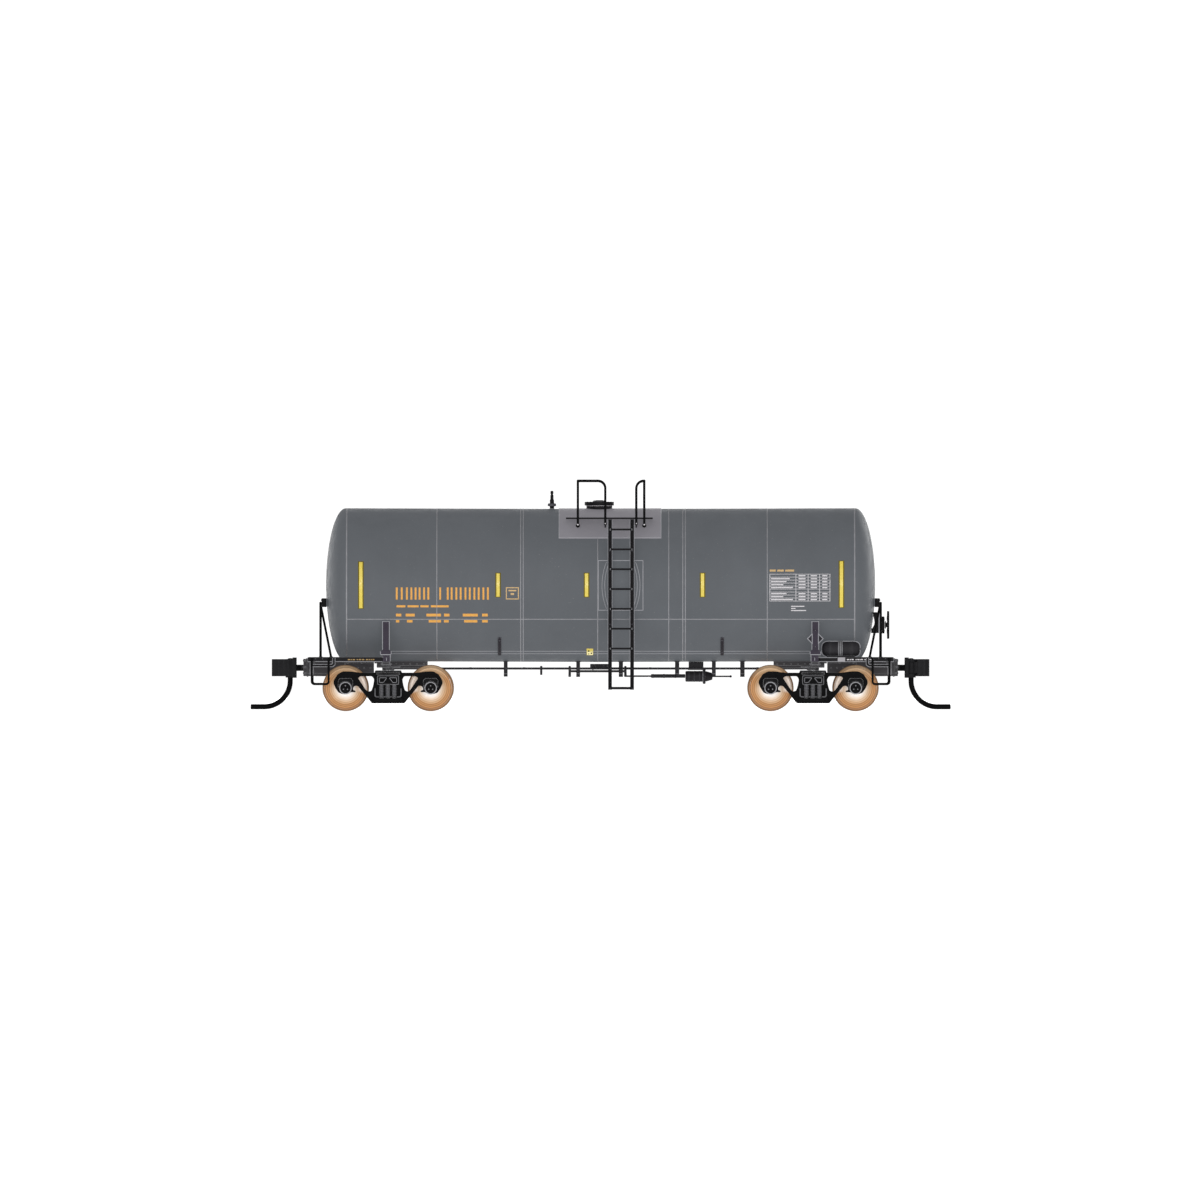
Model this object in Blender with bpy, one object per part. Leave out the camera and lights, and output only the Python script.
"""Model tank wagon, 1:160, as an assembly of separate pieces.

Metres, +Z up, +X along the wagon. The origin is under the middle of the wagon, on the plane that the
wheel flanges touch when it stands on a table. The near side is -Y. End a is -X, end b (the brake-wheel
end) is +X. Dimensions and shape helpers are in millimetres; part() and add_empty() convert to metres.
"""

import math

import bmesh
import bpy
from mathutils import Matrix, Vector

for old_object in list(bpy.data.objects):
    bpy.data.objects.remove(old_object, do_unlink=True)

# ---------------------------------------------------------------- driving dimensions (mm)
MM = 0.001
ENDS = {"a": -1, "b": 1}  # sign of x
SIDES = {"near": -1, "far": 1}  # sign of y
SHARP_DEG = 35.0  # edges sharper than this are not smoothed
GAP = 0.03  # joint line between glued or pressed pieces

WHEEL_SEGS = 20
FLANGE_R = 3.05
AXLE_Z = FLANGE_R * math.cos(math.pi / WHEEL_SEGS)  # the lowest flange facet lies on z = 0
TRUCK_X = 27.75  # half the distance between truck centres
TRUCK_PIVOT_Z = 5.3
HALF_WHEELBASE = 5.56
# Axle number: end, and the axle's direction from the truck centre
AXLES = {1: ("a", -1), 2: ("a", 1), 3: ("b", -1), 4: ("b", 1)}

TANK_R = 10.0
TANK_WALL = 0.8
TANK_CLEAR_R = TANK_R + GAP  # what rests on the tank is cut to this
TANK_CUT_SEGS = 96
TANK_HALF = 33.16  # half the length of the straight shell
TANK_Z_END = 16.51  # height of the tank's centre line at its ends
TANK_DROP = 0.10  # the two halves of the shell slope down this much to the middle
HEAD_LIP, HEAD_DEPTH = 0.12, 2.60  # short straight rim, then half an ellipse
HEAD_STEPS, HEAD_SEGS = 7, 40

DECK_Z0, DECK_Z1 = 6.47, 7.06
DECK_Y = 8.9
SADDLE_X, SADDLE_Y, SADDLE_Z = 28.02, 9.25, 11.66

COUPLER_Z0, COUPLER_Z1 = 4.54, 6.80
COUPLER_PIVOT_X, COUPLER_PIVOT_Z = 36.6, 5.55
KNUCKLE_X, KNUCKLE_Y = 40.57, -0.95  # knuckle hinge at end b, which is the trip pin

BRAKE_WHEEL_X, BRAKE_Y, BRAKE_Z = 37.56, -3.45, 11.26
BRAKE_CENTRE = (0, BRAKE_Y, BRAKE_Z)


# ---------------------------------------------------------------- materials
def linear(level):
    """An 8-bit sRGB level as a linear value."""
    level = level / 255.0
    return level / 12.92 if level <= 0.04045 else ((level + 0.055) / 1.055) ** 2.4


def material(name, rgb, roughness, metallic=0.0):
    made = bpy.data.materials.new(name)
    made.use_nodes = True
    inputs = made.node_tree.nodes["Principled BSDF"].inputs
    inputs["Base Color"].default_value = (*[linear(level) for level in rgb], 1.0)
    inputs["Roughness"].default_value = roughness
    inputs["Metallic"].default_value = metallic
    return made


TANK_GREY = material("tank_grey", rgb=(99, 102, 107), roughness=0.5)
CROWN_GREY = material("crown_grey", rgb=(120, 118, 124), roughness=0.55)
FITTING_BLACK = material("fitting_black", rgb=(50, 49, 53), roughness=0.5)
FRAME_BLACK = material("frame_black", rgb=(58, 57, 59), roughness=0.6)
TRUCK_BLACK = material("truck_black", rgb=(14, 14, 15), roughness=0.55)
COUPLER_BLACK = material("coupler_black", rgb=(22, 22, 24), roughness=0.5)
WHEEL_BRONZE = material("wheel_bronze", rgb=(190, 150, 108), roughness=0.35, metallic=0.8)
AXLE_STEEL = material("axle_steel", rgb=(150, 148, 146), roughness=0.35, metallic=1.0)
WIRE_BLACK = material("wire_black", rgb=(18, 18, 20), roughness=0.45)
STEEL = material("steel", rgb=(160, 160, 162), roughness=0.35, metallic=1.0)


# ---------------------------------------------------------------- shapes
# Each shape function adds a closed solid to the bmesh it is given.
def skin(shape, rings):
    """Faces between successive rings of vertices, with end caps."""
    count = len(rings[0])
    for ring, after in zip(rings, rings[1:]):
        for i in range(count):
            j = (i + 1) % count
            shape.faces.new((ring[i], ring[j], after[j], after[i]))
    shape.faces.new(list(reversed(rings[0])))
    shape.faces.new(rings[-1])


def box(shape, x0, x1, y0, y1, z0, z1):
    x0, x1 = sorted((x0, x1))
    y0, y1 = sorted((y0, y1))
    corners = ((x0, y0), (x1, y0), (x1, y1), (x0, y1))
    skin(shape, [[shape.verts.new((x, y, z)) for x, y in corners] for z in (z0, z1)])


def across(shape, end, x0, x1, half_width, z0, z1):
    """A box across the centre line; end is the sign of x."""
    box(shape, end * x0, end * x1, -half_width, half_width, z0, z1)


def pair(shape, end, x0, x1, y0, y1, z0, z1):
    """A box on each side of the centre line; end is the sign of x."""
    for side in SIDES.values():
        box(shape, end * x0, end * x1, side * y0, side * y1, z0, z1)


def prism(shape, points, axis, low, high):
    """A polygon extruded along an axis. Points are (x, z) for axis y, (y, z) for x, (x, y) for z."""

    def place(u, v, height):
        return {"x": (height, u, v), "y": (u, height, v), "z": (u, v, height)}[axis]

    skin(shape, [[shape.verts.new(place(u, v, h)) for u, v in points] for h in (low, high)])


def turned(axis, centre, radius, height, angle):
    """The point at a radius, height and angle about an axis through centre."""
    u, v = radius * math.cos(angle), radius * math.sin(angle)
    x, y, z = centre
    return {
        "x": (x + height, y + u, z + v),
        "y": (x + u, y + height, z + v),
        "z": (x + u, y + v, z + height),
    }[axis]


def revolve(shape, profile, axis, centre, segs, ring=False):
    """Turns (radius, height) points about an axis. ring closes the profile on itself; otherwise it
    starts and ends on the axis, or is capped flat."""
    loops = []
    for radius, height in profile:
        if radius < 1e-6:
            loops.append([shape.verts.new(turned(axis, centre, 0, height, 0))])
            continue
        angles = [2 * math.pi * (i + 0.5) / segs for i in range(segs)]
        loops.append([shape.verts.new(turned(axis, centre, radius, height, a)) for a in angles])
    pairs = list(zip(loops, loops[1:])) + ([(loops[-1], loops[0])] if ring else [])
    for loop, after in pairs:
        if len(loop) == 1 and len(after) == 1:
            continue
        for i in range(segs):
            j = (i + 1) % segs
            if len(loop) == 1:
                shape.faces.new((loop[0], after[j], after[i]))
            elif len(after) == 1:
                shape.faces.new((loop[i], loop[j], after[0]))
            else:
                shape.faces.new((loop[i], loop[j], after[j], after[i]))
    if not ring:
        for loop in (loops[0], loops[-1]):
            if len(loop) > 1:
                shape.faces.new(loop)


def cyl(shape, axis, centre, radius, low, high, segs):
    revolve(shape, [(radius, low), (radius, high)], axis, centre, segs)


def sweep(shape, path, radius, segs):
    """A round bar along a path, mitred at its corners."""
    points = [Vector(point) for point in path]
    legs = [(after - point).normalized() for point, after in zip(points, points[1:])]
    normal = None
    rings = []
    for i, point in enumerate(points):
        before, after = legs[max(i - 1, 0)], legs[min(i, len(legs) - 1)]
        along = (before + after).normalized()
        if normal is None:
            up = Vector((0, 0, 1)) if abs(along.z) < 0.9 else Vector((1, 0, 0))
            normal = along.cross(up).normalized()
        else:
            normal = (normal - along * normal.dot(along)).normalized()
        other = along.cross(normal)
        # A mitre widens the ring in the plane of the bend
        stretch = 1.0 / max(0.5, math.cos(before.angle(after, 0.0) / 2))
        bend = (before - after).normalized()
        ring = []
        for k in range(segs):
            angle = 2 * math.pi * (k + 0.5) / segs
            offset = normal * (radius * math.cos(angle)) + other * (radius * math.sin(angle))
            offset += bend * offset.dot(bend) * (stretch - 1)
            ring.append(shape.verts.new(point + offset))
        rings.append(ring)
    skin(shape, rings)


def fillet(path, corners):
    """Rounds the inner corners of a path; corners holds a (radius, steps) for each."""
    points = [Vector(point) for point in path]
    rounded = [points[0]]
    for start, corner, stop, (radius, steps) in zip(points, points[1:], points[2:], corners):
        to_start, to_stop = (start - corner).normalized(), (stop - corner).normalized()
        half = to_start.angle(to_stop) / 2
        setback = radius / math.tan(half)
        centre = corner + (to_start + to_stop).normalized() * (radius / math.sin(half))
        first = corner + to_start * setback - centre
        last = corner + to_stop * setback - centre
        total = first.angle(last)
        axis = first.cross(last).normalized()
        for k in range(steps + 1):
            rounded.append(centre + Matrix.Rotation(total * k / steps, 3, axis) @ first)
    return rounded + [points[-1]]


def each(shape, build, rows):
    """One solid per row of arguments, all in the same bmesh."""
    for row in rows:
        build(shape, *row)


# ---------------------------------------------------------------- shapes that follow the tank
# Angles are in degrees about the tank's centre line: 0 is the far side, 90 the top.
def tank_z(x):
    """Height of the tank's centre line."""
    return TANK_Z_END - TANK_DROP * (1 - min(abs(x), TANK_HALF) / TANK_HALF)


def tank_ring(shape, x, radius, start, stop, steps):
    ring = []
    for i in range(steps + 1):
        angle = math.radians(start + (stop - start) * i / steps)
        y, z = radius * math.cos(angle), tank_z(x) + radius * math.sin(angle)
        ring.append(shape.verts.new((x, y, z)))
    return ring


def arc_shell(shape, inner_r, outer_r, start, stop, steps, stations):
    """A curved sheet between two radii and two angles, with a ring at each x station."""
    rings = []
    for x in stations:
        outer = tank_ring(shape, x, outer_r, start, stop, steps)
        rings.append((outer, tank_ring(shape, x, inner_r, start, stop, steps)))
    face = shape.faces.new
    for (out0, in0), (out1, in1) in zip(rings, rings[1:]):
        for k in range(steps):
            face((out0[k], out1[k], out1[k + 1], out0[k + 1]))
            face((in0[k], in0[k + 1], in1[k + 1], in1[k]))
        face((out0[0], in0[0], in1[0], out1[0]))
        face((out0[steps], out1[steps], in1[steps], in0[steps]))
    for outer, inner in (rings[0], rings[-1]):
        for k in range(steps):
            face((outer[k], outer[k + 1], inner[k + 1], inner[k]))


def tank_solid(shape, radius, x0, x1):
    """The tank's straight part as a solid bar, bent at the middle of the wagon."""
    stations = [x0] + ([0.0] if x0 < 0 < x1 else []) + [x1]
    segs = TANK_CUT_SEGS
    skin(shape, [tank_ring(shape, x, radius, 0, 360 - 360 / segs, segs - 1) for x in stations])


def head_profile(growth=0.0):
    """(radius, distance out from the shell's end) of a dished end, from the rim to the crown."""
    angles = [math.pi / 2 * i / HEAD_STEPS for i in range(HEAD_STEPS + 1)]
    return [
        ((TANK_R + growth) * math.cos(a), HEAD_LIP + (HEAD_DEPTH + growth) * math.sin(a))
        for a in angles
    ]


def head_revolve(shape, end, profile, ring=False):
    """Turns (radius, distance out from the shell's end) points about the tank's axis."""
    placed = [(radius, end * (TANK_HALF + out)) for radius, out in profile]
    revolve(shape, placed, "x", (0, 0, TANK_Z_END), HEAD_SEGS, ring=ring)


def head_solid(shape, end):
    """A dished end as a solid, one joint line oversize, reaching into the shell."""
    start = [(0.0, -3.0), (TANK_R + GAP, -3.0)]
    head_revolve(shape, end, start + head_profile(GAP))


# ---------------------------------------------------------------- objects
def make(build, *args, **options):
    shape = bmesh.new()
    build(shape, *args, **options)
    return shape


def add(build, *args):
    return "UNION", make(build, *args)


def cut(build, *args):
    return "DIFFERENCE", make(build, *args)


def cut_tank(x0, x1):
    return cut(tank_solid, TANK_CLEAR_R, x0, x1)


FRAMES = {}  # name of an empty: (object, place in mm)


def add_empty(name, place, parent=None):
    frame = bpy.data.objects.new(name, None)
    frame.empty_display_size = 0.002
    bpy.context.scene.collection.objects.link(frame)
    base = Vector((0, 0, 0))
    if parent:
        frame.parent, base = FRAMES[parent]
    frame.location = (Vector(place) - base) * MM
    FRAMES[name] = (frame, Vector(place))


def to_object(name, shape):
    bmesh.ops.recalc_face_normals(shape, faces=shape.faces)
    mesh = bpy.data.meshes.new(name)
    shape.to_mesh(mesh)
    shape.free()
    made = bpy.data.objects.new(name, mesh)
    bpy.context.scene.collection.objects.link(made)
    return made


def part(name, mat, base, *steps, parent="wagon"):
    """Makes a piece from its base shape, then adds and cuts in turn; its origin is its parent's."""
    source = to_object(name + "_base", base)
    temporary = []
    for operation, shape in steps:
        tool = to_object(name + "_tool", shape)
        tool.hide_render = True
        tool.display_type = "WIRE"
        modifier = source.modifiers.new(operation, "BOOLEAN")
        modifier.operation = operation
        modifier.solver = "EXACT"
        modifier.object = tool
        temporary.append(tool)
    bpy.context.view_layer.update()
    graph = bpy.context.evaluated_depsgraph_get()
    mesh = bpy.data.meshes.new_from_object(source.evaluated_get(graph), depsgraph=graph)
    for used in temporary + [source]:
        old_mesh = used.data
        bpy.data.objects.remove(used, do_unlink=True)
        bpy.data.meshes.remove(old_mesh)
    frame, origin = FRAMES[parent]
    mesh.transform(Matrix.Translation(-origin))
    mesh.transform(Matrix.Diagonal((MM, MM, MM, 1.0)))
    mesh.name = name
    mesh.materials.clear()
    mesh.materials.append(mat)
    mesh.shade_smooth()
    mesh.set_sharp_from_angle(angle=math.radians(SHARP_DEG))
    piece = bpy.data.objects.new(name, mesh)
    bpy.context.scene.collection.objects.link(piece)
    piece.parent = frame


# ---------------------------------------------------------------- moving axes
def axle_centre(number):
    end_name, direction = AXLES[number]
    return (ENDS[end_name] * TRUCK_X + direction * HALF_WHEELBASE, 0, AXLE_Z)


def axes():
    add_empty("wagon", (0, 0, 0))
    knuckle_z = (COUPLER_Z0 + COUPLER_Z1) / 2
    for name, end in ENDS.items():
        coupler = "coupler_axis_" + name
        add_empty("truck_axis_" + name, (end * TRUCK_X, 0, TRUCK_PIVOT_Z), "wagon")
        add_empty(coupler, (end * COUPLER_PIVOT_X, 0, COUPLER_PIVOT_Z), "wagon")
        knuckle = (end * KNUCKLE_X, end * KNUCKLE_Y, knuckle_z)
        add_empty("knuckle_axis_" + name, knuckle, coupler)
    for number, (name, _) in AXLES.items():
        add_empty(f"axle_axis_{number}", axle_centre(number), "truck_axis_" + name)
    add_empty("brake_wheel_axis", (BRAKE_WHEEL_X, BRAKE_Y, BRAKE_Z), "wagon")


# ---------------------------------------------------------------- tank
SEAM_DEG = -26.4  # where the lower shell meets the upper shell
JOINT_DEG = math.degrees(GAP / 2 / TANK_R)
SHELL_X = TANK_HALF - 0.02
SHELL_STATIONS = (-SHELL_X, 0, SHELL_X)
ROOT_R = 9.6  # panels, pads and ribs start inside the tank wall

PANEL_R, PANEL_HALF_DEG = 10.10, 18.9
PANEL_STATIONS = (-0.35, 0, 5.58)
PAD_R, PAD_HALF_WIDTH = 10.26, 0.21
PAD_X = (-13.2, 15.87)
PAD_ARCS = ((295.5, 317.0), (223.0, 244.5))
RIB_X, RIB_HALF_WIDTH = 18.0, 0.6
RIB_HALF_SPAN, RIB_STEPS = 5.35, 10

HEAD_THICKNESS = 0.85
# Plug behind the dished end: radius, distance out from the shell's end
HEAD_PLUG = [(8.45, 0.3), (8.35, -1.6), (9.12, -1.6), (9.12, 0.0)]
BALLAST = (-28.0, 28.0, -4.4, 4.4, 8.56, 12.6)  # x0, x1, y0, y1, z0, z1


def tank_half_shell(name, start, stop, steps, *additions):
    arc = (start + JOINT_DEG, stop - JOINT_DEG, steps)
    base = make(arc_shell, TANK_R - TANK_WALL, TANK_R, *arc, SHELL_STATIONS)
    part(name, TANK_GREY, base, *additions)


def tank_upper_shell():
    panels = [  # a raised access panel on each side, inboard of the ladder
        (ROOT_R, PANEL_R, middle - PANEL_HALF_DEG, middle + PANEL_HALF_DEG, 6, PANEL_STATIONS)
        for middle in (0, 180)
    ]
    seams = (SEAM_DEG, 180 - SEAM_DEG)
    tank_half_shell("tank_upper_shell", *seams, 34, add(each, arc_shell, panels))


def tank_lower_shell():
    pads = [  # four heater-connection pads, two a side
        (ROOT_R, PAD_R, *arc, 3, (x - PAD_HALF_WIDTH, x + PAD_HALF_WIDTH))
        for x in PAD_X
        for arc in PAD_ARCS
    ]
    ribs = []  # two cross ribs that the ballast rests on
    half = math.asin(RIB_HALF_SPAN / ROOT_R)
    angles = [half * (1 - 2 * i / RIB_STEPS) for i in range(RIB_STEPS + 1)]
    for x in (-RIB_X, RIB_X):
        chord = [(ROOT_R * math.sin(a), tank_z(x) - ROOT_R * math.cos(a)) for a in angles]
        ribs.append((chord, "x", x - RIB_HALF_WIDTH, x + RIB_HALF_WIDTH))
    additions = add(each, arc_shell, pads), add(each, prism, ribs)
    tank_half_shell("tank_lower_shell", 180 - SEAM_DEG, 360 + SEAM_DEG, 18, *additions)


def tank_head(name, end):
    outer = head_profile()
    inner = [(radius, out - HEAD_THICKNESS) for radius, out in reversed(outer[4:])]
    profile = outer + inner + HEAD_PLUG
    part("tank_head_" + name, TANK_GREY, make(head_revolve, end, profile, ring=True))


def ballast_weight():
    part("ballast_weight", STEEL, make(box, *BALLAST))


# ---------------------------------------------------------------- crown: sheet, manway, valve
MANWAY_CENTRE = (-0.17, 0, 0)
MANWAY_SEGS = 20
CROWN_R = TANK_R + 0.16
CROWN_STATIONS = (-5.52, 0, 7.93)
CROWN_ARC = (37.4, 142.6)
CROWN_HOLE_R = 1.76
VALVE_CENTRE = (-6.36, 0, 0)
LUG_HALF_WIDTH = 0.35

# Profiles: radius, z
NECK_PROFILE = [(1.70, 25.9), (1.70, 26.84), (1.25, 26.84), (1.25, 25.9)]
COVER_PROFILE = [
    (0.0, 26.62), (1.15, 26.62), (1.15, 26.88), (1.91, 26.88),
    (1.91, 27.33), (0.78, 27.33), (0.60, 27.46), (0.0, 27.46),
]
VALVE_PROFILE = [
    (0.0, 26.48), (0.27, 26.48), (0.27, 26.83), (0.54, 26.83), (0.54, 27.07),
    (0.27, 27.12), (0.27, 27.66), (0.19, 27.74), (0.19, 28.25), (0.11, 28.30),
    (0.11, 28.42), (0.17, 28.50), (0.17, 28.66), (0.0, 28.76),
]


def crown_sheet():
    sheet = make(arc_shell, TANK_CLEAR_R, CROWN_R, *CROWN_ARC, 14, CROWN_STATIONS)
    hole = cut(cyl, "z", MANWAY_CENTRE, CROWN_HOLE_R, 20, 30, MANWAY_SEGS)
    part("crown_sheet", CROWN_GREY, sheet, hole)


def manway_neck():
    neck = make(revolve, NECK_PROFILE, "z", MANWAY_CENTRE, MANWAY_SEGS, ring=True)
    part("manway_neck", FITTING_BLACK, neck, cut_tank(-6, 6))


def manway_cover():
    cover = make(revolve, COVER_PROFILE, "z", MANWAY_CENTRE, MANWAY_SEGS)
    x = MANWAY_CENTRE[0]
    # hinge lug on the far side
    lug = add(box, x - LUG_HALF_WIDTH, x + LUG_HALF_WIDTH, 1.7, 2.25, 26.92, 27.22)
    part("manway_cover", FITTING_BLACK, cover, lug)


def safety_valve():
    part("safety_valve", FITTING_BLACK, make(revolve, VALVE_PROFILE, "z", VALVE_CENTRE, 10))


# ---------------------------------------------------------------- platforms, railings, ladders
PLATFORM_X = (-4.52, 6.80)
PLATFORM_Y0, PLATFORM_Y1 = 5.3, 10.45
PLATFORM_Z = (25.09, 25.25)
GUSSET = [(10.42, 25.17), (10.42, 24.28), (5.5, 23.3), (4.9, 25.17)]  # far side: y, z
GUSSET_HALF = 0.14

RAIL_Y, RAIL_R, RAIL_Z = 10.60, 0.125, 30.10
RAIL_FOOT_Z = 24.3
# Railing: x of its corner posts, x of its inner posts, radius of the bend over the inner posts
RAILS = {"a": (-2.97, 0.61, 0.9), "b": (5.70, 4.66, 0.8)}
FOOT_HALF = 0.24

LADDER_X = ((1.03, 1.49), (3.87, 4.31))  # x0, x1 of each upright
LADDER_Y0, LADDER_Y1 = 10.20, 10.62
LADDER_Z = (2.88, 25.03)
RUNG_COUNT, RUNG_PITCH, RUNG_FIRST = 9, 2.59, 2.99
RUNG_R, RUNG_X = 0.11, (1.25, 4.09)
STAY_INSET, STAY_Y0, STAY_Y1 = 0.07, 8.4, 10.3
STAY_Z, STAY_HEIGHT = (11.2, 20.8), 0.3


def platform(name, side):
    deck = make(box, *PLATFORM_X, side * PLATFORM_Y0, side * PLATFORM_Y1, *PLATFORM_Z)
    outline = [(side * y, z) for y, z in GUSSET]
    gussets = [
        (outline, "x", x - GUSSET_HALF, x + GUSSET_HALF)
        for corner_x, inner_x, _ in RAILS.values()
        for x in (corner_x, inner_x)
    ]
    over_crown = cut(tank_solid, TANK_R + 0.19, -8, 8)
    part("platform_" + name, FITTING_BLACK, deck, add(each, prism, gussets), over_crown)


def ladder(name, side):
    faces = (side * LADDER_Y0, side * LADDER_Y1)
    uprights = [(*xs, *faces, *LADDER_Z) for xs in LADDER_X]
    rung_y = side * (LADDER_Y0 + LADDER_Y1) / 2
    rungs = [
        ("x", (0, rung_y, RUNG_FIRST + RUNG_PITCH * i), RUNG_R, *RUNG_X, 6)
        for i in range(RUNG_COUNT)
    ]
    stays = [
        (x0 + STAY_INSET, x1 - STAY_INSET, side * STAY_Y0, side * STAY_Y1, z, z + STAY_HEIGHT)
        for x0, x1 in LADDER_X
        for z in STAY_Z
    ]
    steps = add(each, cyl, rungs), add(each, box, stays), cut_tank(0.2, 6)
    part("ladder_" + name, FITTING_BLACK, make(each, box, uprights), *steps)


def safety_rail(name, corner_x, inner_x, bend_r):
    """A bar up an inner post, out to the corner, across the wagon and back down."""
    y, z = RAIL_Y, RAIL_Z
    half = [(inner_x, y, RAIL_FOOT_Z), (inner_x, y, z), (corner_x, y, z)]
    path = [(px, -py, pz) for px, py, pz in half] + half[::-1]
    path = fillet(path, [(bend_r, 3), (0.2, 2), (0.2, 2), (bend_r, 3)])
    posts, feet = [], []
    for side in SIDES.values():
        at_corner = (corner_x, side * y, 0)
        posts.append(("z", at_corner, RAIL_R * 0.98, RAIL_FOOT_Z, z - 0.04, 6))
    for x in (corner_x, inner_x):
        feet.append((1, x - FOOT_HALF, x + FOOT_HALF, 10.48, 10.8, 24.05, 24.42))
    steps = add(each, cyl, posts), add(each, pair, feet)
    part("safety_rail_" + name, WIRE_BLACK, make(sweep, path, RAIL_R, 6), *steps)


# ---------------------------------------------------------------- underframe at each end
# Boxes across the centre line, at end b: x0, x1, half width, z0, z1
BEAM = (34.5, 38.42, DECK_Y, DECK_Z0, DECK_Z1)
CROSS_BEAM = (27.3, 28.7, 8.88, 5.92, 7.3)
SADDLE = (SADDLE_X - 0.34, SADDLE_X + 0.34, SADDLE_Y, 6.1, SADDLE_Z)
PAD = (22.6, 29.26, 1.3, 5.66, 6.40)
LOW_PAD = (22.62, 28.05, 1.25, 5.42, 5.8)
COUPLER_BOX = (33.4, 38.5, 2.05, 4.90, 6.44)
SILL = (29.62, 34.0, 1.2, 4.9, 6.43)
NECK_BLOCK = (36.0, 38.45, 1.95, 6.0, 6.99)
STRIKER = (38.38, 38.84, 2.3, 4.90, 7.0)
BOX_CAVITY = (33.76, 38.1, 1.65, 4.7, 6.2)
BOX_MOUTH = (38.0, 39.2, 1.0, 4.7, 6.2)
BOX_LID = (33.4, 38.84, 2.05, 4.56, 4.87)
# Boxes on both sides, at end b: x0, x1, y0, y1, z0, z1
DECK_BOARD = (27.4, 34.9, 5.4, DECK_Y - 0.02, DECK_Z0 + 0.01, DECK_Z1 - 0.01)
SADDLE_FOOT = (27.34, 28.66, 7.9, SADDLE_Y - 0.04, 7.02, 7.9)
HANDRAIL_LUG = (35.1, 36.52, 2.35, 2.75, 13.55, 14.75)
# Profiles: radius, z
LID_SINK = [(0.0, 4.4), (1.0, 4.4), (0.42, 4.86), (0.42, 5.1), (0.0, 5.1)]
LID_SCREW = [(0.0, 4.57), (0.74, 4.57), (0.38, 4.86), (0.38, 6.1), (0.0, 6.1)]
TRUCK_SCREW = [
    (0.0, 3.80), (1.05, 3.80), (1.15, 3.9), (1.15, 4.22), (0.68, 4.22), (0.68, 6.2), (0.0, 6.2),
]

SPRING_X0, SPRING_X1 = 33.95, 35.28
SPRING_TURNS, SPRING_PER_TURN = 4, 8
SPRING_COIL_R, SPRING_WIRE_R = 0.46, 0.085

STIRRUP_X0, STIRRUP_X1 = 35.5, 37.7
STIRRUP_Z0, STIRRUP_Z1 = 3.53, 6.95
STIRRUP_R = 0.1
HANDRAIL_X, HANDRAIL_Y, HANDRAIL_R = 36.6, 6.2, 0.115
HANDRAIL_Z0, HANDRAIL_Z1 = DECK_Z1 + 0.02, 14.15
WIRE_BENDS = [(0.35, 2)] * 2  # radius and steps of both bends in a stirrup or handrail


def coupler_pivot(end):
    return (end * COUPLER_PIVOT_X, 0, 0)


def truck_pivot(end):
    return (end * TRUCK_X, 0, 0)


def underframe(name, end):
    coupler_at, truck_at = coupler_pivot(end), truck_pivot(end)
    part(
        "underframe_" + name,
        FRAME_BLACK,
        make(across, end, *BEAM),
        add(pair, end, *DECK_BOARD),
        add(across, end, *CROSS_BEAM),
        add(across, end, *SADDLE),
        add(pair, end, *SADDLE_FOOT),
        add(across, end, *PAD),
        add(across, end, *LOW_PAD),
        add(cyl, "z", truck_at, 1.6, 5.31, 5.9, 16),  # boss over the truck
        add(across, end, *COUPLER_BOX),
        add(across, end, *SILL),
        add(across, end, *NECK_BLOCK),
        add(across, end, *STRIKER),
        cut_tank(*sorted((end * 20, end * TANK_HALF))),
        cut(head_solid, end),
        cut(across, end, *BOX_CAVITY),
        cut(across, end, *BOX_MOUTH),
        add(cyl, "z", coupler_at, 0.75, 4.93, 6.3, 14),  # coupler post
        cut(cyl, "z", coupler_at, 0.42, 4.5, 6.15, 10),  # lid screw hole
        cut(cyl, "z", truck_at, 0.72, 5.0, 6.28, 12),  # truck screw hole
    )


def coupler_box_lid(name, end):
    sink = cut(revolve, LID_SINK, "z", coupler_pivot(end), 10)
    part("coupler_box_lid_" + name, FRAME_BLACK, make(across, end, *BOX_LID), sink)


def screws(name, end):
    lid_screw = make(revolve, LID_SCREW, "z", coupler_pivot(end), 10)
    part("lid_screw_" + name, STEEL, lid_screw)
    truck_screw = make(revolve, TRUCK_SCREW, "z", truck_pivot(end), 12)
    part("truck_screw_" + name, STEEL, truck_screw)


def centring_spring(name, end):
    count = SPRING_TURNS * SPRING_PER_TURN
    path = []
    for i in range(count + 1):
        x = end * (SPRING_X0 + (SPRING_X1 - SPRING_X0) * i / count)
        angle = 2 * math.pi * i / SPRING_PER_TURN
        path.append(turned("x", (x, 0, COUPLER_PIVOT_Z), SPRING_COIL_R, 0, angle))
    part("centring_spring_" + name, STEEL, make(sweep, path, SPRING_WIRE_R, 4))


def stirrup(name, end, side_name, side):
    y = side * (DECK_Y + 0.13)
    path = [
        (end * STIRRUP_X1, y, STIRRUP_Z1), (end * STIRRUP_X1, y, STIRRUP_Z0),
        (end * STIRRUP_X0, y, STIRRUP_Z0), (end * STIRRUP_X0, y, STIRRUP_Z1),
    ]
    wire = make(sweep, fillet(path, WIRE_BENDS), STIRRUP_R, 6)
    part(f"stirrup_{name}_{side_name}", WIRE_BLACK, wire)


def end_handrail(name, end):
    x, y, z0, z1 = end * HANDRAIL_X, HANDRAIL_Y, HANDRAIL_Z0, HANDRAIL_Z1
    path = fillet([(x, -y, z0), (x, -y, z1), (x, y, z1), (x, y, z0)], WIRE_BENDS)
    stays = [
        ([(x, side * 6.18, 13.6), (end * 35.2, side * 5.8, z0)], 0.1, 6)
        for side in SIDES.values()
    ]
    steps = add(pair, end, *HANDRAIL_LUG), add(each, sweep, stays), cut(head_solid, end)
    part("end_handrail_" + name, WIRE_BLACK, make(sweep, path, HANDRAIL_R, 6), *steps)


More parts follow.
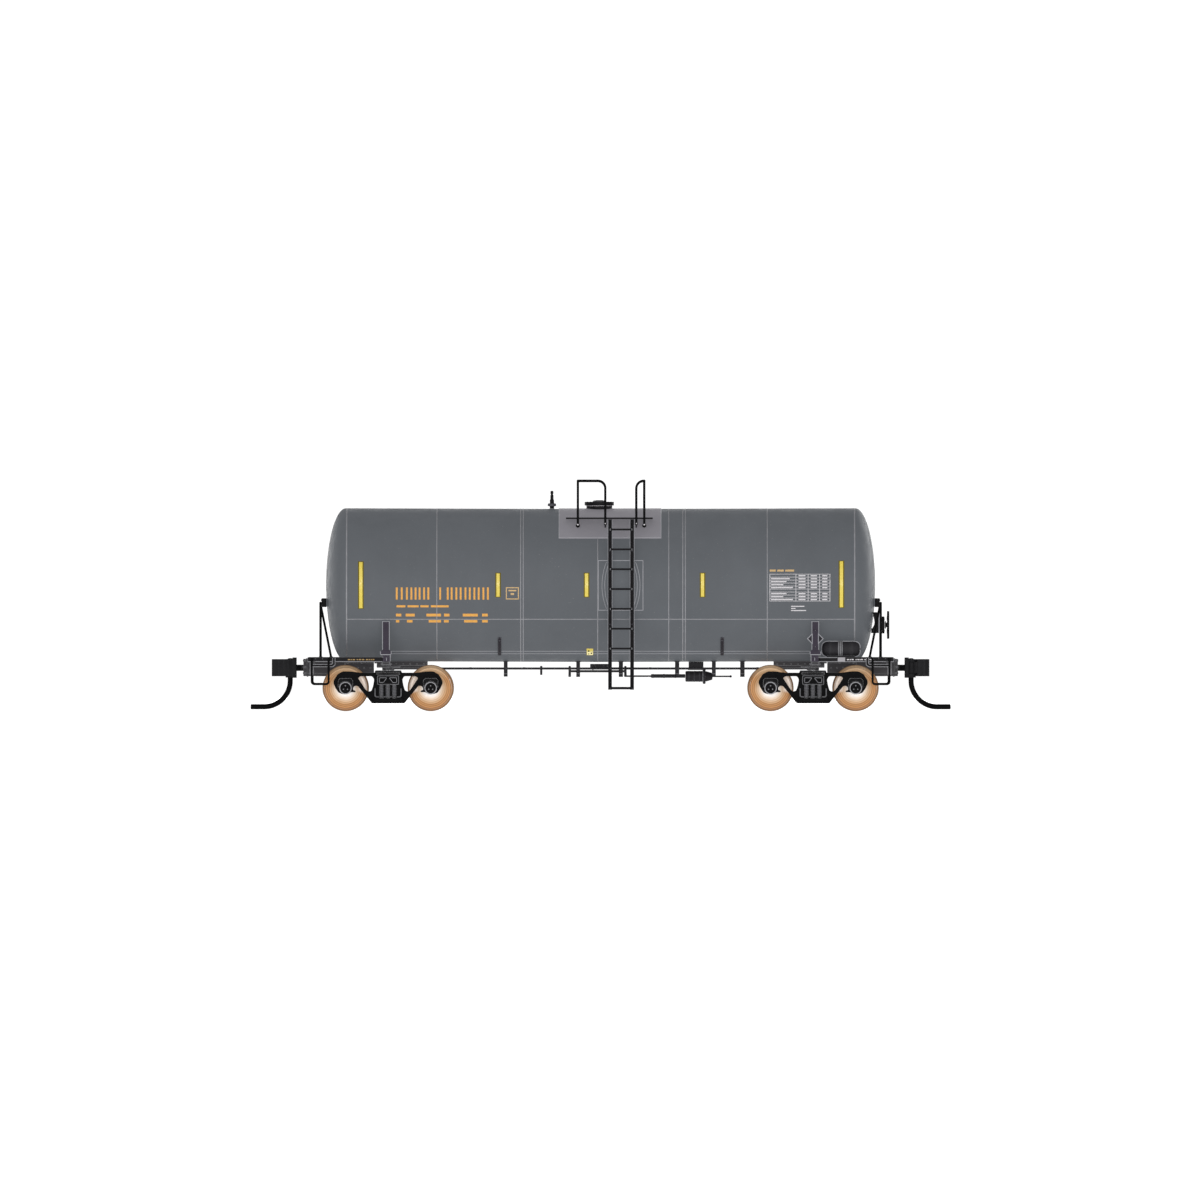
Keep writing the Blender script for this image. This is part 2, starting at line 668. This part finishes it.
# ---------------------------------------------------------------- hand brake at end b
STAND_OUTLINE = [  # x, z
    (36.29, 12.84), (35.30, 12.84), (35.58, 12.30), (35.84, 11.70), (35.74, 11.05),
    (35.40, 10.70), (34.8, 10.50), (34.8, 10.25), (36.29, 10.25),
]
STAND_WEB = (36.1, 36.95, -3.85, -3.05, 10.7, 11.9)  # x0, x1, y0, y1, z0, z1
GEAR_CASE = (36.79, 37.09, -4.3, -2.6, 10.2, 12.29)
RIM_OUT_R, RIM_IN_R, RIM_HALF = 1.76, 1.54, 0.11
SPOKE = (37.49, 37.60, -1.62, 1.62, -0.1, 0.1)  # about the wheel's axis


def brake_stand():
    part(
        "brake_stand",
        FITTING_BLACK,
        make(prism, STAND_OUTLINE, "y", -4.0, -2.9),
        add(box, *STAND_WEB),
        add(box, *GEAR_CASE),
        cut(cyl, "x", BRAKE_CENTRE, 0.30, 36.5, 37.4, 12),
        cut(head_solid, ENDS["b"]),
    )


def spoke(shape, angle):
    """A bar right across the brake wheel."""
    box(shape, *SPOKE)
    turn = Matrix.Rotation(angle, 3, "X")
    bmesh.ops.rotate(shape, cent=(0, 0, 0), matrix=turn, verts=shape.verts)
    bmesh.ops.translate(shape, vec=BRAKE_CENTRE, verts=shape.verts)


def brake_wheel():
    x0, x1 = BRAKE_WHEEL_X - RIM_HALF, BRAKE_WHEEL_X + RIM_HALF
    profile = [(RIM_IN_R, x0), (RIM_OUT_R, x0), (RIM_OUT_R, x1), (RIM_IN_R, x1)]
    part(
        "brake_wheel",
        FITTING_BLACK,
        make(revolve, profile, "x", BRAKE_CENTRE, 24, ring=True),
        *[add(spoke, math.pi * k / 3) for k in range(3)],
        add(cyl, "x", BRAKE_CENTRE, 0.45, 37.13, 37.64, 12),  # hub
        add(cyl, "x", BRAKE_CENTRE, 0.25, 36.56, 37.3, 10),  # spindle
        parent="brake_wheel_axis",
    )


# ---------------------------------------------------------------- air brake gear
RESERVOIR_CENTRE = (0, -7.6, 8.11)
RESERVOIR_R, RESERVOIR_DOME = 0.98, 0.85
RESERVOIR_X0, RESERVOIR_X1 = 29.75, 33.0  # ends of the straight part
RESERVOIR_BAND = [(RESERVOIR_R, 31.02), (1.03, 31.02), (1.03, 31.52), (RESERVOIR_R, 31.52)]

LINE_Y, LINE_Z = -1.2, 5.57
HANGERS = [  # centre x, width
    (-12.40, 0.45), (-2.93, 0.45), (2.65, 0.50), (10.0, 0.50), (14.80, 0.46), (18.53, 0.53),
]
SHORT_HANGER = (-7.91, -7.61, -1.42, -0.95, 4.72, 5.9)  # x0, x1, y0, y1, z0, z1
ROD_Y, ROD_Z, LOW_ROD_Z = 0.2, 5.25, 4.58
LEVERS = [(-4.22, -3.86, 0.0, 0.4, 4.45, 5.9), (3.08, 3.44, 0.0, 0.4, 4.45, 5.9)]
CYLINDER_CENTRE = (0, ROD_Y, 4.53)
CYLINDER_PROFILE = [  # radius, x
    (0.0, 11.08), (0.69, 11.08), (0.69, 13.45), (0.96, 13.45), (0.96, 13.66),
    (0.66, 13.66), (0.45, 14.61), (0.09, 14.61), (0.09, 17.15), (0.0, 17.15),
]
PLACARD_Z, PLACARD_HALF, PLACARD_THICKNESS = 9.46, 1.08, 0.12


def air_reservoir():
    radius, dome, x0, x1 = RESERVOIR_R, RESERVOIR_DOME, RESERVOIR_X0, RESERVOIR_X1
    angles = (math.pi / 6, math.pi / 3)
    profile = [(0.0, x0 - dome)]
    profile += [(radius * math.sin(a), x0 - dome * math.cos(a)) for a in angles]
    profile += [(radius, x0), *RESERVOIR_BAND, (radius, x1)]
    profile += [(radius * math.cos(a), x1 + dome * math.sin(a)) for a in angles]
    profile += [(0.0, x1 + dome)]
    part("air_reservoir", FRAME_BLACK, make(revolve, profile, "x", RESERVOIR_CENTRE, 16))


def bar(x0, x1, y, z, radius, segs):
    """Arguments that sweep a straight bar along X."""
    return sweep, [(x0, y, z), (x1, y, z)], radius, segs


def train_line():
    hangers = [(x - width / 2, x + width / 2, -1.45, -0.78, 4.5, 6.7) for x, width in HANGERS]
    steps = add(each, box, hangers + [SHORT_HANGER]), cut_tank(-20, 20)
    part("train_line", FITTING_BLACK, make(*bar(-21.4, 21.7, LINE_Y, LINE_Z, 0.1, 6)), *steps)


def brake_rod():
    part(
        "brake_rod",
        FITTING_BLACK,
        make(*bar(-4.1, 3.28, ROD_Y, ROD_Z, 0.14, 6)),
        add(each, box, LEVERS),
        add(*bar(3.2, 6.75, ROD_Y, LOW_ROD_Z, 0.09, 6)),
        add(*bar(6.6, 11.02, ROD_Y, LOW_ROD_Z, 0.24, 8)),
    )


def brake_valve():
    body = make(box, -1.37, 1.10, -0.35, 0.75, 5.43, 6.12)
    stem = add(box, -0.4, 0.15, -0.1, 0.5, 6.0, 6.8)
    part("brake_valve", FITTING_BLACK, body, stem, cut_tank(-3, 3))


def brake_cylinder():
    body = make(revolve, CYLINDER_PROFILE, "x", CYLINDER_CENTRE, 12)
    stem = add(box, 11.9, 13.0, -0.2, 0.6, 4.8, 5.9)
    stand = add(box, 11.55, 13.4, -0.5, 0.9, 5.66, 6.8)
    part("brake_cylinder", FITTING_BLACK, body, stem, stand, cut_tank(9, 16))


def placard(name, side):
    """A diamond on the saddle: at end b on the near side, at end a on the far side."""
    x, z, half = -side * SADDLE_X, PLACARD_Z, PLACARD_HALF
    diamond = [(x, z - half), (x + half, z), (x, z + half), (x - half, z)]
    y = SADDLE_Y + GAP
    plate = make(prism, diamond, "y", side * y, side * (y + PLACARD_THICKNESS))
    part("placard_" + name, FITTING_BLACK, plate)


# ---------------------------------------------------------------- trucks
SIDE_IN, SIDE_OUT = 6.30, 7.30  # side frame faces
# Left half of the side frame's outline: x from the truck centre, z
FRAME_HALF = [
    (-1.72, 5.12), (-1.83, 4.93), (-3.70, 5.02), (-4.98, 5.19), (-5.92, 5.19),
    (-6.62, 4.79), (-7.08, 4.03), (-7.14, 3.68), (-6.85, 2.98), (-6.44, 2.39),
    (-5.95, 2.30), (-5.25, 2.30), (-4.87, 2.51), (-4.22, 2.51), (-4.28, 2.69),
    (-4.57, 2.745), (-4.57, 3.095), (-4.28, 3.33), (-3.93, 3.27), (-2.12, 1.02),
]
# Left window in the side frame: x from the truck centre, z
WINDOW = [
    (-3.93, 4.32), (-3.64, 4.55), (-2.07, 4.55), (-1.81, 4.145),
    (-1.95, 3.30), (-2.18, 2.63), (-2.59, 2.535), (-2.88, 2.745),
]
TRUCK_SPRINGS, TRUCK_SPRING_PITCH = 5, 0.7


def truck_frame(name, end):
    x = end * TRUCK_X
    at = truck_pivot(end)
    outline = FRAME_HALF + [(-u, z) for u, z in reversed(FRAME_HALF)]
    outline = [(x + u, z) for u, z in outline]
    sides, springs, bearings, hubs, windows, cones = ([] for _ in range(6))
    for side in SIDES.values():
        sides.append((outline, "y", side * SIDE_IN, side * SIDE_OUT))
        for k in range(TRUCK_SPRINGS):
            spring_at = (x + TRUCK_SPRING_PITCH * (k - 2), side * 7.30, 0)
            springs.append(("z", spring_at, 0.29, 1.62, 3.50, 6))
        for direction in (-1, 1):
            axle_at = (x + direction * HALF_WHEELBASE, 0, AXLE_Z)
            bearings.append(("y", axle_at, 0.82, side * 6.60, side * 7.66, 12))
            hubs.append(("y", axle_at, 0.42, side * 7.50, side * 7.84, 6))
            window = [(x + direction * u, z) for u, z in WINDOW]
            windows.append((window, "y", side * 6.0, side * 8.0))
            cone = [(0.0, side * 6.90), (0.404, side * 6.20), (0.0, side * 6.20)]
            cones.append((cone, "y", axle_at, 10))
    part(
        "truck_frame_" + name,
        TRUCK_BLACK,
        make(each, prism, sides),
        add(box, x - 1.22, x + 1.22, -6.5, 6.5, 3.6, 4.9),  # bolster
        add(cyl, "z", at, 1.75, 3.72, 5.28, 16),  # centre boss
        add(pair, 1, x - 1.38, x + 1.38, 6.42, 7.62, 3.44, 4.60),  # bolster ends
        add(pair, 1, x - 1.72, x + 1.70, 6.36, 7.50, 4.55, 5.25),  # caps over them
        add(pair, 1, x - 1.85, x + 1.85, 6.44, 7.68, 1.42, 1.70),  # spring seats
        add(each, cyl, springs),
        add(each, cyl, bearings),
        add(each, cyl, hubs),
        cut(each, prism, windows),
        cut(cyl, "z", at, 0.77, 3.0, 6.0, 12),  # screw bore
        cut(cyl, "z", at, 1.32, 3.0, 4.30, 12),  # screw head recess
        cut(each, revolve, cones),  # seats for the axle points
        parent="truck_axis_" + name,
    )


# ---------------------------------------------------------------- wheelsets
WHEEL_BACK = 7.6 / 2  # half the distance between the backs of the wheels
WHEEL_FACE = WHEEL_BACK + 2.15
WEB_FACE = WHEEL_BACK + 1.60
TREAD_R = 2.72
AXLE_TIP, POINT_R = 6.85, 0.40  # half the length over the axle points; their radius
WHEEL_PROFILE = [  # radius, distance from the centre line
    (0.57, WHEEL_BACK + 0.05), (2.92, WHEEL_BACK), (FLANGE_R, WHEEL_BACK + 0.30),
    (TREAD_R, WHEEL_BACK + 0.62), (TREAD_R, WHEEL_FACE), (2.25, WHEEL_FACE),
    (2.05, WEB_FACE), (0.57, WEB_FACE),
]
AXLE_HALF = [  # far half: radius, y
    (0.0, AXLE_TIP), (POINT_R, AXLE_TIP - POINT_R / math.tan(math.radians(30))),
    (POINT_R, 6.02), (0.55, 6.0), (0.55, WHEEL_BACK + 0.02), (0.75, WHEEL_BACK - 0.05),
]


def wheelset(number):
    centre, parent = axle_centre(number), f"axle_axis_{number}"
    profile = AXLE_HALF + [(radius, -y) for radius, y in reversed(AXLE_HALF)]
    axle = make(revolve, profile, "y", centre, 12)
    part(f"axle_{number}", AXLE_STEEL, axle, parent=parent)
    for name, side in SIDES.items():
        profile = [(radius, side * y) for radius, y in WHEEL_PROFILE]
        wheel = make(revolve, profile, "y", centre, WHEEL_SEGS, ring=True)
        part(f"wheel_{number}_{name}", WHEEL_BRONZE, wheel, parent=parent)


# ---------------------------------------------------------------- couplers
# Plans are x, y at end b; end a has them turned half round.
HEAD_PLATE = (39.73, 40.23, 1.55, 4.33, 7.0)  # x0, x1, half width, z0, z1
SHANK = (36.9, 39.9, 0.5, 5.23, 6.08)
GUARD_PLAN = [
    (40.1, -0.30), (40.95, -0.12), (41.15, 0.45), (41.9, 0.80), (42.7, 1.08),
    (42.98, 1.22), (42.98, 1.60), (42.6, 1.66), (40.1, 1.52),
]
HINGE_LUG_R = 0.62
HINGE_LUG_Z = ((4.36, 4.92), (6.44, 6.98))
NECK_PLAN = [(KNUCKLE_X, -1.44), (41.6, -1.46), (41.6, -0.62), (KNUCKLE_X, -0.50)]
JAW_PLAN = [
    (41.30, -1.50), (42.45, -1.50), (42.80, -1.32), (42.98, -1.0), (42.98, -0.10), (42.86, 0.16),
    (42.62, 0.26), (42.38, 0.18), (42.20, -0.20), (42.05, -0.52), (41.70, -0.64), (41.30, -0.62),
]
PIN_R, PIN_BEND_R, PIN_BEND_STEPS = 0.34, 3.4, 6
PIN_TOP_Z, PIN_LOW_Z, PIN_END_X = 7.02, 0.56, 45.68


def plan(end, points):
    return [(end * x, end * y) for x, y in points]


def hinge(end):
    return (end * KNUCKLE_X, end * KNUCKLE_Y, 0)


def coupler_body(name, end):
    pivot, hinge_at = coupler_pivot(end), hinge(end)
    angles = [math.radians(-90 + 30 * k) for k in range(7)]
    nose = [
        (KNUCKLE_X + HINGE_LUG_R * math.cos(a), KNUCKLE_Y + HINGE_LUG_R * math.sin(a))
        for a in angles
    ]
    lug_plan = plan(end, [(40.05, -1.50)] + nose + [(40.3, -0.2), (40.05, -0.2)])
    part(
        "coupler_body_" + name,
        COUPLER_BLACK,
        make(across, end, *HEAD_PLATE),
        add(across, end, *SHANK),
        add(cyl, "z", pivot, 1.15, 4.98, 6.12, 14),  # eye round the post
        add(prism, plan(end, GUARD_PLAN), "z", COUPLER_Z0, COUPLER_Z1),
        add(each, prism, [(lug_plan, "z", *heights) for heights in HINGE_LUG_Z]),
        cut(cyl, "z", hinge_at, 0.64, 4.92, 6.44, 14),  # room for the knuckle's hub
        cut(cyl, "z", hinge_at, 0.37, 4.0, 7.4, 10),  # pin hole
        cut(cyl, "z", pivot, 0.83, 4.0, 7.0, 14),  # post hole
        parent="coupler_axis_" + name,
    )


def coupler_knuckle(name, end):
    part(
        "coupler_knuckle_" + name,
        COUPLER_BLACK,
        make(cyl, "z", hinge(end), 0.56, 4.97, 6.39, 14),
        add(prism, plan(end, NECK_PLAN), "z", 4.99, 6.37),
        add(prism, plan(end, JAW_PLAN), "z", 4.60, 6.74),
        cut(cyl, "z", hinge(end), 0.38, 4.0, 7.4, 10),
        parent="knuckle_axis_" + name,
    )


def trip_pin(name, end):
    """A pin down through the hinge, then bent outward along the wagon."""
    x, y, _ = hinge(end)
    path = [(x, y, PIN_TOP_Z)]
    for k in range(PIN_BEND_STEPS + 1):
        angle = math.pi / 2 * k / PIN_BEND_STEPS
        out = PIN_BEND_R * (1 - math.cos(angle))
        path.append((x + end * out, y, PIN_LOW_Z + PIN_BEND_R * (1 - math.sin(angle))))
    path.append((end * PIN_END_X, y, PIN_LOW_Z))
    pin = make(sweep, path, PIN_R, 8)
    part("trip_pin_" + name, WIRE_BLACK, pin, parent="coupler_axis_" + name)


# ---------------------------------------------------------------- assembly
AT_EACH_END = (
    tank_head, underframe, coupler_box_lid, screws, centring_spring, end_handrail,
    truck_frame, coupler_body, coupler_knuckle, trip_pin,
)
ON_EACH_SIDE = (platform, ladder, placard)
SINGLE = (
    tank_upper_shell, tank_lower_shell, ballast_weight, crown_sheet, manway_neck, manway_cover,
    safety_valve, brake_stand, brake_wheel, air_reservoir, train_line, brake_rod, brake_valve,
    brake_cylinder,
)

axes()
for build_piece in SINGLE:
    build_piece()
for side_item in SIDES.items():
    for build_piece in ON_EACH_SIDE:
        build_piece(*side_item)
for end_item in ENDS.items():
    for build_piece in AT_EACH_END:
        build_piece(*end_item)
    for side_item in SIDES.items():
        stirrup(*end_item, *side_item)
for rail_name, rail_sizes in RAILS.items():
    safety_rail(rail_name, *rail_sizes)
for axle_number in AXLES:
    wheelset(axle_number)
